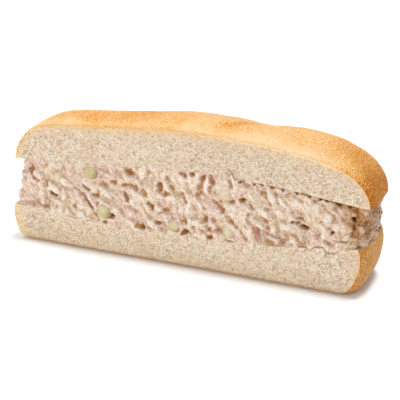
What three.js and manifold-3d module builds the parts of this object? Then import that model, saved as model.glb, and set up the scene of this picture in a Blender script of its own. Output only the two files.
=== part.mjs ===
// A tuna salad sub: a white sub roll, split into a top and a bottom, with a thick layer of tuna salad
// between them. A knife has taken a slab off the front long side, from end to end, so the front is one
// upright cut face that shows the crumb of both halves, the flaked tuna salad and its chopped celery.
// Both ends and the back are the roll's own rounded crust.
//
// Sizes are in millimetres. While it is made, the cut face is the plane Y = 0 and looks towards -Y, X runs
// along it, and the sub stands on Z = 0. The roll lies behind the cut, turned a little against it. At the
// end the whole is moved so that the origin is the middle of the underside of its bounding box.

import * as THREE from "three";
import { mergeVertices } from "three/addons/utils/BufferGeometryUtils.js";
import { RoundedBoxGeometry } from "three/addons/geometries/RoundedBoxGeometry.js";
import Module from "manifold-3d";

const wasm = await Module();
wasm.setup();

// The roll: its middle line lies behind the cut, and further behind it at the right end
const MIDDLE_DEPTH = 14.8;
const ROLL_TURN = THREE.MathUtils.degToRad(2);
// Plan outlines are superellipses. The powers say how blunt the ends are in front of the middle line and
// behind it: 2 is an ellipse, more is squarer.
const TOP = { centreX: 1.0, halfLength: 86.6, halfWidth: 28.8, powers: [5.3, 3.8] };
const BOTTOM = { centreX: -0.9, halfLength: 87.7, halfWidth: 28.6, powers: [4.2, 4.4] };
const FILLING = { centreX: -0.4, halfLength: 85.6, halfWidth: 27.4, powers: [4.8, 4.0] };

// Heights of the two sliced faces, at equal stations from the left end to the right
const STATION_REACH = 88;
const BOTTOM_FACE_HEIGHTS = [17.7, 15.0, 15.3, 17.8, 22.8];
const TOP_FACE_HEIGHTS = [40.6, 42.6, 46.3, 45.0, 40.7];

// The crust
const DOME_HEIGHT = 21.9; // from the sliced face of the top half to its crest
const DOME_POWERS = [0.54, 0.7, 0.56]; // fullness of its shoulders at the left end, middle and right end
const DOME_END_REACH = 42; // how far from each end the shoulders change
const BASE_FILLET = 7.5; // how far in from the side the flat underside begins
const RIM_LEAN = 1.1; // how far the bottom half draws in at its sliced rim
const RIM_LEAN_ANGLE = Math.PI / 8; // the part of its rounded side that does so
// A shallow slanting dent across the crest, left by shaping the dough
const CREASE = { x: 27.6, y: 16, depth: 2.2, halfWidth: 11, slant: 0.8 };

// The tuna salad
const BREAD_GAP = 0.15; // left free above and below the tuna salad
const BAND_LOW = 10;
const BAND_HIGH = 52;
const CLUMP_COUNT = 380;
const CLUMP_HALF_LENGTH = [3.6, 7.2];
const CLUMP_HALF_WIDTH = [2.0, 3.4];
const CLUMP_RISE = [0.5, 2.1];
const CLUMP_SLANT = -0.85; // radians: most flakes lean from upper left to lower right
const CLUMP_SPREAD = 1.5;
const CORE_SINK = 1.1; // how far the ground between the clumps lies behind the outline
const LEFT_TAPER = 0.24; // the left end draws in upwards, as a share of height
const LEFT_TAPER_FROM = 19;
const LEFT_TAPER_LENGTH = 12;
const CORNER_ROUNDINGS = [3, 7]; // radii of the corners between the cut face and the left and right ends
const PIT_REACH = 1.5; // how far a hollow's slope runs, in its radii
const PITS = [
  // the larger hollows of the cut face
  { x: -62, z: 26.5, radius: 2.6, depth: 2.6 },
  { x: -47, z: 31, radius: 2.4, depth: 1.8 },
  { x: -28, z: 40.5, radius: 2.8, depth: 2.6 },
  { x: -9.5, z: 37, radius: 2.3, depth: 2.4 },
  { x: -7, z: 33, radius: 2.4, depth: 2.4 },
  { x: -14, z: 28.5, radius: 2.3, depth: 2.2 },
  { x: 16, z: 31, radius: 2.3, depth: 1.8 },
  { x: 32, z: 34, radius: 2.4, depth: 2.4 },
  { x: 39.5, z: 30, radius: 2.6, depth: 2.4 },
  { x: 71, z: 28.3, radius: 2.5, depth: 2.8 },
  { x: 80.5, z: 34.8, radius: 2.6, depth: 2.6 },
];

// The chopped celery that shows in the cut face: place, size of the piece and its turn in radians
const CELERY = [
  { x: -44.6, z: 39.0, size: [8.0, 6.4, 5.4], turn: 0.12, out: 1.5 },
  { x: -37.9, z: 21.0, size: [6.6, 6.2, 6.8], turn: -0.3, out: 1.5 },
  { x: -2.2, z: 19.8, size: [8.2, 6.0, 5.6], turn: 0.2, out: 0.9 },
  { x: -62.5, z: 34.2, size: [4.4, 6.0, 6.8], turn: -0.5, out: 0.7 },
  { x: 24.2, z: 21.0, size: [5.8, 6.0, 6.6], turn: -0.3, out: 0.9 },
  { x: 22.6, z: 38.0, size: [6.8, 6.0, 6.0], turn: 0.5, out: 0.8 },
  { x: 76.4, z: 26.8, size: [7.0, 6.0, 5.0], turn: 0.3, out: -0.2 },
];
const CELERY_ROUNDING = 1.7;
const CELERY_CLEARANCE = 0.3;

// Resolution
const ROUND_STEPS = 92;
const DOME_RINGS = 13;
const SIDE_RINGS = 8;
const FILLING_FRONT_STEPS = 74;
const FILLING_ROUND_STEPS = 70;
const BAND_LEVELS = 16;
const ROOM_STEPS = 88;

// The whole number k spread evenly over 0 to 1, a different spread for each channel
const SPREAD_STEPS = [0.6180339887, 0.7548776662, 0.5698402910, 0.8191725134, 0.6710436067];
const spread = (k, channel) => (0.5 + k * SPREAD_STEPS[channel]) % 1;
const between = ([low, high], share) => low + (high - low) * share;

// Smooth curve through heights given at equal stations
function heightAt(heights, x) {
  const last = heights.length - 1;
  const place = THREE.MathUtils.clamp(((x + STATION_REACH) / (2 * STATION_REACH)) * last, 0, last);
  const i = Math.min(Math.floor(place), last - 1);
  const t = place - i;
  const at = (step) => heights[THREE.MathUtils.clamp(i + step, 0, last)];
  const [before, from, to, after] = [at(-1), at(0), at(1), at(2)];
  const slopeIn = (to - before) / 2;
  const slopeOut = (after - from) / 2;
  return (
    from * (2 * t ** 3 - 3 * t ** 2 + 1) +
    slopeIn * (t ** 3 - 2 * t ** 2 + t) +
    to * (3 * t ** 2 - 2 * t ** 3) +
    slopeOut * (t ** 3 - t ** 2)
  );
}
const bottomFace = (x) => heightAt(BOTTOM_FACE_HEIGHTS, x);
const topFace = (x) => heightAt(TOP_FACE_HEIGHTS, x);

// A plan's point, given along and across its own middle line, in the frame of the cut face
function placed(along, across, { centreX }) {
  const [c, s] = [Math.cos(ROLL_TURN), Math.sin(ROLL_TURN)];
  return [centreX + along * c - across * s, MIDDLE_DEPTH + along * s + across * c];
}

// The point of a plan's outline at an angle round its centre, drawn in by an inset
function outlinePoint(angle, plan, inset = 0) {
  const [c, s] = [Math.cos(angle), Math.sin(angle)];
  const power = plan.powers[s < 0 ? 0 : 1];
  const radius = (Math.abs(c) ** power + Math.abs(s) ** power) ** (-1 / power);
  return placed(radius * c * (plan.halfLength - inset), radius * s * (plan.halfWidth - inset), plan);
}

// How deep the crease is at a point of the crust, fading out towards its lower edge and the cut face
function creaseDepth(x, y, inset) {
  const off = (x - CREASE.x - CREASE.slant * (y - CREASE.y)) / CREASE.halfWidth;
  const fade = THREE.MathUtils.smoothstep(inset, 4, 22) * THREE.MathUtils.smoothstep(y, 0, 22);
  return CREASE.depth * fade * Math.exp(-off * off);
}

// The dome's section: an ellipse whose power makes its shoulders fuller at the ends than in the middle
function crustAbove(x, y, inset) {
  const [leftPower, middlePower, rightPower] = DOME_POWERS;
  const endShare = THREE.MathUtils.smoothstep(Math.abs(x), STATION_REACH - DOME_END_REACH, STATION_REACH);
  const power = THREE.MathUtils.lerp(middlePower, x < 0 ? leftPower : rightPower, endShare);
  const rise = (1 - (1 - inset / TOP.halfWidth) ** 2) ** power;
  return topFace(x) + DOME_HEIGHT * rise - creaseDepth(x, y, inset);
}

function geometryOf(points, triangles) {
  const geometry = new THREE.BufferGeometry();
  geometry.setAttribute("position", new THREE.BufferAttribute(new Float32Array(points.flat()), 3));
  geometry.setIndex(triangles.flat());
  return geometry;
}

// Half a roll before the cut: rings of points, the first one round the sliced face and each next one
// further over the crust. The first and the last ring are closed across the middle line. The side tells
// whether the crust is above the sliced face (1) or below it (-1).
function halfRoll(rings, side) {
  const count = ROUND_STEPS;
  const triangles = [];
  const add = (a, b, c) => triangles.push(side > 0 ? [a, b, c] : [a, c, b]);
  for (let k = 0; k < rings.length - 1; k++) {
    for (let j = 0; j < count; j++) {
      const next = (j + 1) % count;
      const [a, b, c, d] = [k * count + j, k * count + next, (k + 1) * count + next, (k + 1) * count + j];
      add(a, b, c);
      add(a, c, d);
    }
  }
  const last = (rings.length - 1) * count;
  for (let j = 0; j < count / 2; j++) {
    const [back, nextBack] = [j, j + 1];
    const [front, nextFront] = [(count - j) % count, count - j - 1];
    if (j > 0) {
      add(back, front, nextBack);
      add(last + back, last + nextBack, last + front);
    }
    if (j < count / 2 - 1) {
      add(nextBack, front, nextFront);
      add(last + nextBack, last + nextFront, last + front);
    }
  }
  return geometryOf(rings.flat(), triangles);
}

const angles = Array.from({ length: ROUND_STEPS }, (_, j) => (2 * Math.PI * j) / ROUND_STEPS);

function topHalf() {
  const rings = Array.from({ length: DOME_RINGS + 1 }, (_, k) => {
    const inset = TOP.halfWidth * 0.99 * (k / DOME_RINGS) ** 1.7;
    return angles.map((angle) => {
      const [x, y] = outlinePoint(angle, TOP, inset);
      return [x, y, crustAbove(x, y, inset)];
    });
  });
  return halfRoll(rings, 1);
}

// The side of the bottom half is a quarter of an ellipse, from the rim down to the flat underside
function bottomHalf() {
  const rings = Array.from({ length: SIDE_RINGS + 1 }, (_, k) => {
    const around = (Math.PI / 2) * (k / SIDE_RINGS);
    const lean = RIM_LEAN * Math.max(0, 1 - around / RIM_LEAN_ANGLE) ** 2;
    const inset = BASE_FILLET * (1 - Math.cos(around)) + lean;
    return angles.map((angle) => {
      const [x, y] = outlinePoint(angle, BOTTOM, inset);
      return [x, y, k < SIDE_RINGS ? bottomFace(x) * (1 - Math.sin(around)) : 0];
    });
  });
  return halfRoll(rings, -1);
}

// The angle at which a plan's outline meets the cut face, between one angle behind it and one before it
function angleAtCut(behind, before, plan) {
  for (let turn = 0; turn < 40; turn++) {
    const angle = (behind + before) / 2;
    if (outlinePoint(angle, plan)[1] > 0) behind = angle;
    else before = angle;
  }
  return behind;
}

// The plan outline of the tuna salad, walked once round: along the cut face from left to right, then
// round the right end, the back and the left end. Each step has a place and the way out of the outline.
function fillingOutline() {
  const firstAngle = angleAtCut(0, -Math.PI / 2, FILLING);
  const lastAngle = angleAtCut(Math.PI, 1.5 * Math.PI, FILLING);
  const [right, left] = [firstAngle, lastAngle].map((angle) => outlinePoint(angle, FILLING)[0]);
  const steps = [];
  for (let i = 0; i < FILLING_FRONT_STEPS; i++) {
    steps.push({ x: THREE.MathUtils.lerp(left, right, i / FILLING_FRONT_STEPS), y: 0, out: [0, -1] });
  }
  for (let i = 0; i < FILLING_ROUND_STEPS; i++) {
    const angle = THREE.MathUtils.lerp(firstAngle, lastAngle, i / FILLING_ROUND_STEPS);
    const [x, y] = outlinePoint(angle, FILLING);
    const [xBefore, yBefore] = outlinePoint(angle - 0.01, FILLING);
    const [xAfter, yAfter] = outlinePoint(angle + 0.01, FILLING);
    const length = Math.hypot(xAfter - xBefore, yAfter - yBefore);
    steps.push({ x, y, out: [(yAfter - yBefore) / length, (xBefore - xAfter) / length] });
  }
  return steps.map((step) => roundedOff(step, left, right));
}

// Draws in the corners between the cut face and the ends, as a fillet does at 45 degrees
function roundedOff({ x, y, out }, left, right) {
  const side = x < 0 ? -1 : 1;
  const radius = CORNER_ROUNDINGS[side < 0 ? 0 : 1];
  const away = Math.hypot((side < 0 ? left : right) - x, y);
  const draw = radius * (1 - Math.SQRT1_2) * Math.max(0, 1 - away / radius) ** 2;
  return { x: x - side * draw, y: y + draw, out };
}

// Clumps of flaked tuna, spread over the side of the layer: along is the way round the outline. The
// longer ones stand out further.
function makeClumps(roundLength) {
  return Array.from({ length: CLUMP_COUNT }, (_, k) => {
    const turn = CLUMP_SLANT + CLUMP_SPREAD * (spread(k, 2) - 0.5);
    return {
      along: roundLength * spread(k, 0),
      z: THREE.MathUtils.lerp(BAND_LOW, BAND_HIGH, spread(k, 1)),
      cos: Math.cos(turn),
      sin: Math.sin(turn),
      halfLength: between(CLUMP_HALF_LENGTH, spread(k, 3)),
      halfWidth: between(CLUMP_HALF_WIDTH, spread(k, 4)),
      rise: between(CLUMP_RISE, spread(k, 3)),
    };
  });
}

// How far the surface of the tuna salad stands out at one place: the highest clump there
function clumpRise(clumps, roundLength, along, z) {
  let rise = 0;
  for (const clump of clumps) {
    const raw = along - clump.along;
    const da = raw - roundLength * Math.round(raw / roundLength);
    const dz = z - clump.z;
    const u = (da * clump.cos + dz * clump.sin) / clump.halfLength;
    const v = (dz * clump.cos - da * clump.sin) / clump.halfWidth;
    const inside = 1 - u * u - v * v;
    if (inside > 0) rise = Math.max(rise, clump.rise * Math.sqrt(inside));
  }
  return rise;
}

const pitDepth = (x, z) =>
  PITS.reduce((sum, pit) => {
    const near = 1 - ((x - pit.x) ** 2 + (z - pit.z) ** 2) / (pit.radius * PIT_REACH) ** 2;
    return near > 0 ? sum + pit.depth * near : sum;
  }, 0);

// A lumpy band round the outline, taller than the layer, with flat ends
function fillingBand() {
  const outline = fillingOutline();
  const count = outline.length;
  let roundLength = 0;
  outline.forEach((step, i) => {
    const next = outline[(i + 1) % count];
    step.along = roundLength;
    roundLength += Math.hypot(next.x - step.x, next.y - step.y);
  });
  const clumps = makeClumps(roundLength);
  const leftEnd = Math.min(...outline.map(({ x }) => x));
  const points = [];
  for (let level = 0; level <= BAND_LEVELS; level++) {
    const z = THREE.MathUtils.lerp(BAND_LOW, BAND_HIGH, level / BAND_LEVELS);
    outline.forEach(({ x, y, out, along }, i) => {
      const pit = i < FILLING_FRONT_STEPS ? pitDepth(x, z) : 0;
      const off = clumpRise(clumps, roundLength, along, z) - CORE_SINK - pit;
      const nearLeft = Math.max(0, 1 - (x - leftEnd) / LEFT_TAPER_LENGTH);
      const taper = LEFT_TAPER * Math.max(0, z - LEFT_TAPER_FROM) * nearLeft;
      points.push([x + out[0] * off + taper, y + out[1] * off, z]);
    });
  }
  const triangles = [];
  for (let level = 0; level < BAND_LEVELS; level++) {
    for (let i = 0; i < count; i++) {
      const next = (i + 1) % count;
      const [a, b, c, d] = [
        level * count + i,
        level * count + next,
        (level + 1) * count + next,
        (level + 1) * count + i,
      ];
      triangles.push([a, b, c], [a, c, d]);
    }
  }
  const planOf = (level) =>
    points.slice(level * count, (level + 1) * count).map(([x, y]) => new THREE.Vector2(x, y));
  const lastLevel = BAND_LEVELS * count;
  THREE.ShapeUtils.triangulateShape(planOf(0), []).forEach(([a, b, c]) => triangles.push([a, c, b]));
  THREE.ShapeUtils.triangulateShape(planOf(BAND_LEVELS), []).forEach((corner) =>
    triangles.push(corner.map((k) => lastLevel + k)),
  );
  return geometryOf(points, triangles);
}

// The room between the sliced faces of the two halves, drawn in XZ and run through the roll
function roomBetweenHalves() {
  const reach = STATION_REACH + 6;
  const places = Array.from({ length: ROOM_STEPS + 1 }, (_, i) => -reach + (2 * reach * i) / ROOM_STEPS);
  const outline = [
    ...places.map((x) => new THREE.Vector2(x, bottomFace(x) + BREAD_GAP)),
    ...places.reverse().map((x) => new THREE.Vector2(x, topFace(x) - BREAD_GAP)),
  ];
  const depth = 4 * TOP.halfWidth;
  const geometry = new THREE.ExtrudeGeometry(new THREE.Shape(outline), { depth, bevelEnabled: false });
  geometry.rotateX(Math.PI / 2);
  geometry.translate(0, depth / 2, 0);
  return geometry;
}

function celeryGeometry({ x, z, size, turn, out }, grow = 0) {
  const [across, deep, high] = size.map((length) => length + 2 * grow);
  const geometry = new RoundedBoxGeometry(across, deep, high, 1, CELERY_ROUNDING + grow);
  geometry.rotateY(turn);
  geometry.rotateX(turn / 2);
  geometry.translate(x, size[1] / 2 - out, z);
  return geometry;
}

function solidOf(geometry) {
  const bare = geometry.clone();
  bare.deleteAttribute("normal");
  bare.deleteAttribute("uv");
  const merged = mergeVertices(bare, 1e-3);
  return new wasm.Manifold(
    new wasm.Mesh({
      numProp: 3,
      vertProperties: merged.attributes.position.array,
      triVerts: new Uint32Array(merged.index.array),
    }),
  );
}

function geometryOfSolid(solid) {
  const { vertProperties, triVerts } = solid.getMesh();
  const geometry = new THREE.BufferGeometry();
  geometry.setAttribute("position", new THREE.BufferAttribute(vertProperties, 3));
  geometry.setIndex(new THREE.BufferAttribute(triVerts, 1));
  return geometry;
}

// What is left of a piece behind the knife's cut
function behindTheCut(geometry) {
  const reach = 4 * STATION_REACH;
  const box = new THREE.BoxGeometry(reach, reach, reach).translate(0, reach / 2, 0);
  return geometryOfSolid(solidOf(geometry).intersect(solidOf(box)));
}

// The tuna salad: the lumpy band, kept to the room between the halves, with a bed for each celery piece
function tunaSalad() {
  let solid = solidOf(fillingBand()).intersect(solidOf(roomBetweenHalves()));
  for (const piece of CELERY) {
    solid = solid.subtract(solidOf(celeryGeometry(piece, CELERY_CLEARANCE)));
  }
  const [main] = solid.decompose().sort((a, b) => b.volume() - a.volume());
  return geometryOfSolid(main);
}

const bread = new THREE.MeshStandardMaterial({ color: 0xe0cba8, roughness: 0.9, metalness: 0 });
const crustedBread = new THREE.MeshStandardMaterial({ color: 0xe9b06a, roughness: 0.6, metalness: 0 });
const tuna = new THREE.MeshStandardMaterial({ color: 0xd9c0a8, roughness: 0.5, metalness: 0 });
const celery = new THREE.MeshStandardMaterial({ color: 0xcdc08c, roughness: 0.4, metalness: 0 });

function namedMesh(name, geometry, material) {
  geometry.computeVertexNormals();
  const mesh = new THREE.Mesh(geometry, material);
  mesh.name = name;
  return mesh;
}

const sub = new THREE.Group();
sub.add(namedMesh("bun_bottom", behindTheCut(bottomHalf()), bread));
sub.add(namedMesh("bun_top", behindTheCut(topHalf()), crustedBread));
sub.add(namedMesh("tuna_filling", tunaSalad(), tuna));
CELERY.forEach((piece, i) => sub.add(namedMesh(`celery_${i + 1}`, celeryGeometry(piece), celery)));

// The origin goes to the middle of the underside of the bounding box
const box = new THREE.Box3().setFromObject(sub);
const middle = box.getCenter(new THREE.Vector3());
sub.position.set(-middle.x, -middle.y, -box.min.z);

const part = new THREE.Group();
part.add(sub);

export default part;
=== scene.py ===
"""A tuna salad sub on a white table: two halves of a soft white roll, a thick layer of flaked tuna salad
and its chopped celery, with one long side sliced off flat towards the viewer.

Shapes are worked out in millimetres in the frame of the cut face: the cut is the plane y = 0, x runs along
it, and z is up from the table. build_mesh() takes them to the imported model's frame, in metres.
"""

import math
from types import SimpleNamespace

import bpy
import numpy as np
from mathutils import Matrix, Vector


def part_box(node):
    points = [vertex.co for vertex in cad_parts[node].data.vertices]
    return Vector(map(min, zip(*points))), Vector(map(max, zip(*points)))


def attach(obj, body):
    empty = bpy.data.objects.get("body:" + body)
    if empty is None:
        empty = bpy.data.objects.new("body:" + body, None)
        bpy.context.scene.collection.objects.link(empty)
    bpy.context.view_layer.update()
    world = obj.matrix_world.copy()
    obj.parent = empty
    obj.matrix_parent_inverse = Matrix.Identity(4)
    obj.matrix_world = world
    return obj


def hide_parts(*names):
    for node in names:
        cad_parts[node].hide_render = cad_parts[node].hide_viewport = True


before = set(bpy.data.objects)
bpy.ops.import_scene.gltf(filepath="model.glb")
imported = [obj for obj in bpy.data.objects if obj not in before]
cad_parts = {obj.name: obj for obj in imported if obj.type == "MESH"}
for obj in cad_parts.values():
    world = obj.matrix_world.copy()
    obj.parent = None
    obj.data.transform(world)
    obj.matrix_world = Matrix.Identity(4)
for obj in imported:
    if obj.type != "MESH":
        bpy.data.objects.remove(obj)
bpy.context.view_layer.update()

MM = 0.001
SEED = 20
WELD = 1e-4
SHARP_ANGLE = math.radians(50)

# The roll, as in the solids: plan outlines (superellipses), their turn and depth behind the cut
MIDDLE_DEPTH = 14.8
ROLL_TURN = math.radians(2)
TOP = dict(centre=0.65, length=86.95, width=28.8, powers=(5.3, 3.8))
BOTTOM = dict(centre=-1.3, length=88.1, width=28.6, powers=(4.2, 4.4))
FILLING = dict(centre=-0.8, length=86.0, width=27.4, powers=(4.8, 4.0))
STATION_REACH = 88
BOTTOM_FACE_HEIGHTS = (17.7, 15.0, 15.3, 17.8, 22.8)
TOP_FACE_HEIGHTS = (40.6, 42.6, 46.3, 45.0, 40.7)
DOME_HEIGHT = 21.9
DOME_POWERS = (0.54, 0.7, 0.56)
DOME_END_REACH = 42
BASE_FILLET = 7.5
FRONT_FILLET = 3.6
FRONT_FILLET_REACH = 9
RIM_LEAN = 1.1
RIM_LEAN_ANGLE = math.pi / 8
CREASE = dict(x=27.6, y=16, depth=2.2, half_width=11, slant=0.8)
CRUST_WAVES = dict(dents=(0.30, 13), wrinkles=(0.12, 4.5), blisters=(0.05, 1.5))
RIM_REACH = 10.0

# How finely the surfaces and the outlines that they follow are worked out
CUT_COLUMNS = 520
FACE_ROWS = 50
CRUST_ROWS = 100
SIDE_ROWS = 56
SLICED_ROWS = 14
BASE_ROWS = 5
BAND_ROWS = 78
CAP_ROWS = 6
CELERY_COLUMNS = 56
CELERY_ROWS = 36
INSET_HALVINGS = 34
ANGLE_HALVINGS = 40
ARC_STEPS = 1600
POINTS_AT_ONCE = 4000

# The tuna salad
LEFT_TAPER = 0.24
LEFT_TAPER_FROM = 19
LEFT_TAPER_LENGTH = 12
CORNER_ROUNDINGS = (3, 7)
BREAD_GAP = 0.1
CRUMB_LAP = 1.9
END_LENGTH = 36
BED_POWER = 2.6
BED_DEPTH = 2.2
FLAKE_COUNT = 330
FLAKE_SLANT = -0.95
LUMPY_FROM = 105
STEEP_FROM = 76
STEEP_TO = 106
GROUND_LUMPS = (
    # height, width, length along the lean, how far they are let down
    (2.3, 4.4, 5.5, 1.0), (1.2, 2.4, 3.0, 0.45), (0.7, 1.3, 1.6, 0.27),
)
SMALL_HOLLOWS = 85
BACK_HOLLOWS = 170
HOLLOWS = (
    # the torn hollows and grooves that stand out in the cut face: from x, z, to x, z, half width, depth
    (-77.5, 37.5, -76, 32.5, 0.8, 1.9), (-76, 32.5, -72, 31.5, 0.8, 1.9), (-69, 31.5, -67, 28, 0.7, 1.5),
    (-66.5, 26.5, -62.5, 24.5, 0.9, 2.6), (-75.5, 21.3, -70.5, 18.3, 0.9, 1.0),
    (-63.5, 20.5, -63, 19, 0.7, 1.2), (-59.5, 20.5, -59, 18, 0.7, 1.1), (-54.5, 23.5, -53.5, 19, 0.7, 1.3),
    (-51, 28.5, -44, 21.5, 0.8, 1.0), (-50, 33, -45, 30, 0.7, 1.5), (-44.5, 29, -41, 28, 0.8, 1.5),
    (-40.5, 32, -41.5, 28.5, 0.7, 1.2), (-35.5, 19, -32.5, 19, 0.9, 2.4), (-43.5, 19.5, -39.5, 15, 0.8, 1.5),
    (-39.5, 15.5, -36.5, 16.5, 0.7, 1.8), (-35, 35, -31, 37, 0.8, 1.6), (-29.5, 36, -24.5, 35, 0.8, 1.7),
    (-26, 43, -21.5, 40.8, 1.0, 1.8), (-18.5, 36, -16.5, 32, 0.8, 1.1), (-27, 31, -25, 27, 0.7, 1.2),
    (-22.5, 16.5, -18, 16.5, 0.8, 2.0), (-10, 38.5, -9.5, 36, 0.9, 2.2), (-7.5, 33.5, -5.5, 34.5, 1.1, 2.3),
    (-15, 30, -13, 27, 1.0, 2.3), (-12, 20, -8.5, 20, 0.7, 2.2), (1.5, 45.5, 3, 44, 0.8, 1.4),
    (6, 45.5, 7.5, 45.5, 0.8, 1.5), (12.2, 45.5, 9.6, 38.0, 0.9, 1.4), (16.4, 46, 15.4, 38.5, 0.9, 1.7),
    (7.5, 35.5, 10.5, 37, 0.9, 1.8), (2.5, 35.5, 4, 32.5, 0.9, 1.8), (-8.5, 25.5, -5.5, 27, 0.9, 1.5),
    (3, 23.5, 3.5, 22, 0.9, 1.8), (1, 17, 4.5, 18, 0.8, 2.6), (11, 24, 13, 25, 1.0, 1.6),
    (14.5, 20.5, 19.5, 20.5, 1.2, 1.8), (13.5, 17, 17, 17.5, 1.0, 2.8), (16.2, 37, 23.2, 28.2, 0.8, 1.7),
    (-3.5, 31.5, -3, 28.5, 0.7, 1.1), (6.6, 32, 8.2, 27, 0.6, 0.9), (24.5, 27, 29, 23, 0.7, 1.2),
    (29, 23, 34.5, 18, 0.6, 1.4), (13.5, 22, 17.5, 19, 1.0, 1.9), (24, 35, 26.5, 36, 0.9, 1.9),
    (29.5, 36.5, 32, 36.5, 0.8, 2.4), (33, 35.5, 36, 32.5, 0.7, 1.7), (39.5, 30.5, 42, 29, 0.9, 1.8),
    (39, 42.5, 40, 40.5, 0.9, 1.4), (22.5, 17.5, 25.5, 15.5, 0.9, 1.6), (54, 30, 57, 29.8, 0.8, 3.2),
    (57.5, 29, 59.5, 28.6, 0.8, 3.4), (71, 28.1, 71.6, 28.1, 0.7, 3.8), (79.8, 35.2, 81.0, 35.0, 0.9, 5.0),
    (79.0, 28.7, 79.9, 28.9, 0.8, 4.4), (80.5, 32.5, 79.8, 30, 0.6, 1.6), (79, 28.2, 75.5, 25.2, 0.9, 4.0),
    (55, 42, 58, 39.5, 0.7, 0.9), (66.5, 32.5, 69, 30, 0.7, 0.8), (75.5, 25.6, 72.5, 24.2, 0.5, 1.6),
    (84.2, 31.5, 82.4, 28.6, 0.6, 2.0), (55.5, 32.2, 58.5, 31.4, 0.7, 2.2), (79, 40, 81.5, 39, 0.7, 1.5),
)
STRANDS = (
    # darker pink strands of tuna in the cut face: from x, z, to x, z, half width
    (-51, 28.5, -44, 21.5, 1.0), (-75.5, 21.3, -70.5, 18.3, 1.2), (-27, 31, -25, 27, 0.9),
    (33, 29, 35, 25, 0.9), (35, 25, 39.5, 19.5, 1.0), (-76, 34.5, -74, 31.5, 0.9), (40, 23.5, 50, 21.5, 0.8),
)
LUMPS = (
    # pressed pieces of tuna in the cut face: x, z, half length, half width, tilt, rise, pinkness
    (31.0, 26.6, 11.5, 3.7, -0.69, 1.0, 0.3), (31.5, 40.5, 5.5, 3.0, -0.1, 0.5, 0.8),
    (16.0, 31.5, 6.0, 4.0, -0.8, 0.5, 0.8), (-10.5, 22.6, 4.5, 3.0, 0.2, 0.4, 0.8),
    (-31.0, 40.5, 6.0, 2.8, -0.1, 0.4, 0.75), (-28.0, 26.5, 5.0, 4.0, -0.9, 0.4, 0.7),
    (-75.0, 28.5, 5.5, 4.0, -0.2, 0.4, 0.7), (-55.0, 33.0, 5.0, 2.5, -0.7, 0.4, 0.5),
    (50.0, 34.5, 5.5, 3.0, -0.9, 0.5, 0.6), (66.0, 33.0, 5.0, 3.5, -0.6, 0.5, 0.5),
    (76.0, 34.0, 4.5, 2.8, -0.9, 0.5, 0.7), (82.0, 25.5, 6.5, 2.4, 0.25, 0.9, 0.05),
    (-49.0, 19.5, 3.5, 3.0, 0.4, 0.6, 0.1), (3.5, 41.5, 4.0, 2.6, -0.5, 0.6, 0.2),
    (76.6, 31.4, 3.6, 2.6, -0.6, 0.9, 0.3), (85.0, 35.5, 3.0, 4.0, 0.3, 0.8, 0.1),
    (5.0, 29.0, 10.0, 1.6, 1.53, 0.7, 0.1), (13.6, 42.0, 4.5, 1.1, 1.40, 0.8, 0.1),
)
CELERY = (
    # x, z, how far it stands out of the cut, green share, mayonnaise share
    (-44.6, 39.0, 1.5, 1.0, 0.0),
    (-37.9, 21.0, 1.5, 0.6, 0.25),
    (-2.2, 19.8, 0.9, 0.5, 0.35),
    (-62.5, 34.2, 0.5, 0.4, 0.7),
    (24.2, 21.0, 0.4, 0.6, 0.65),
    (22.6, 38.0, 0.4, 0.6, 0.7),
    (76.4, 26.8, -0.4, 0.6, 0.9),
)
GAPS_UNDER_BREAD = (29.5, 31.5, 35.5, 39.5, 44, 49, 55, 61, 65.5, 68.5, 73.5, 78, 82, 85)

# The camera that took the photo: 400 pixels wide, with the sub's cut face turned away by its azimuth
FOCAL_PIXELS = 1050
IMAGE_PIXELS = 400
SENSOR_MM = 36
CAMERA_PLACE = (192.2, -393.8, 187.7)
CAMERA_AZIMUTH = math.radians(24.78)
CAMERA_PITCH = math.radians(19.53)

# The table top and the lights, in metres
TABLE_RADIUS = 1.6
TABLE_SIDES = 64
SOFT_BOX_WIDTH = 0.6
LIT_PLACE = (0, 0, 0.03)


def smooth(low, high, x):
    """0 at low and beyond it, 1 at high and beyond it, and a smooth step between them."""
    t = np.clip((x - low) / (high - low), 0, 1)
    return t * t * (3 - 2 * t)


def mix(a, b, t):
    """a where t is 0, b where it is 1, and in proportion between."""
    return a + (b - a) * t


def turned(x, y, angle, length=1, width=1):
    """A place as read along axes that are turned by an angle, in shares of a length and a width."""
    c, s = np.cos(angle), np.sin(angle)
    return (x * c + y * s) / length, (y * c - x * s) / width


def unit(vectors):
    """Vectors divided by their length."""
    return vectors / np.maximum(np.linalg.norm(vectors, axis=-1, keepdims=True), 1e-9)


def joined(*coordinates):
    """Grids of coordinates as one grid of points; a plain number stands for a whole grid of it."""
    return np.stack(np.broadcast_arrays(*coordinates), -1)


def rows_between(line, other, count):
    """Rows of points on the straight lines from each point of a line to its partner on another."""
    return mix(line[None], other[None], np.linspace(0, 1, count)[:, None, None])


def lattice_random(corner, seed):
    """A fixed random number from 0 to 1 for every whole-number lattice corner. Seeds count from SEED."""
    h = corner[0] * 73856093 ^ corner[1] * 19349663 ^ corner[2] * 83492791 ^ (SEED + seed) * 2654435761
    h = (h ^ (h >> 13)) * 1274126177
    return ((h ^ (h >> 16)) & 0xFFFF) / 65535.0


def noise(points, cell, seed, period=None):
    """Value noise from -1 to 1: random values at the corners of a lattice with that cell, in mm, blended
    by smooth steps. It repeats after period cells along the first axis, if there is one."""
    p = np.moveaxis(np.asarray(points, float), -1, 0) / cell
    base = np.floor(p).astype(np.int64)
    f = p - base
    f = f * f * (3 - 2 * f)
    total = 0
    for k in range(8):
        step = (k & 1, k >> 1 & 1, k >> 2 & 1)
        weight = 1
        for axis in range(3):
            weight = weight * (f[axis] if step[axis] else 1 - f[axis])
        corner = [base[axis] + step[axis] for axis in range(3)]
        if period:
            corner[0] = corner[0] % period
        total = total + weight * lattice_random(corner, seed)
    return 2 * total - 1


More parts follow.
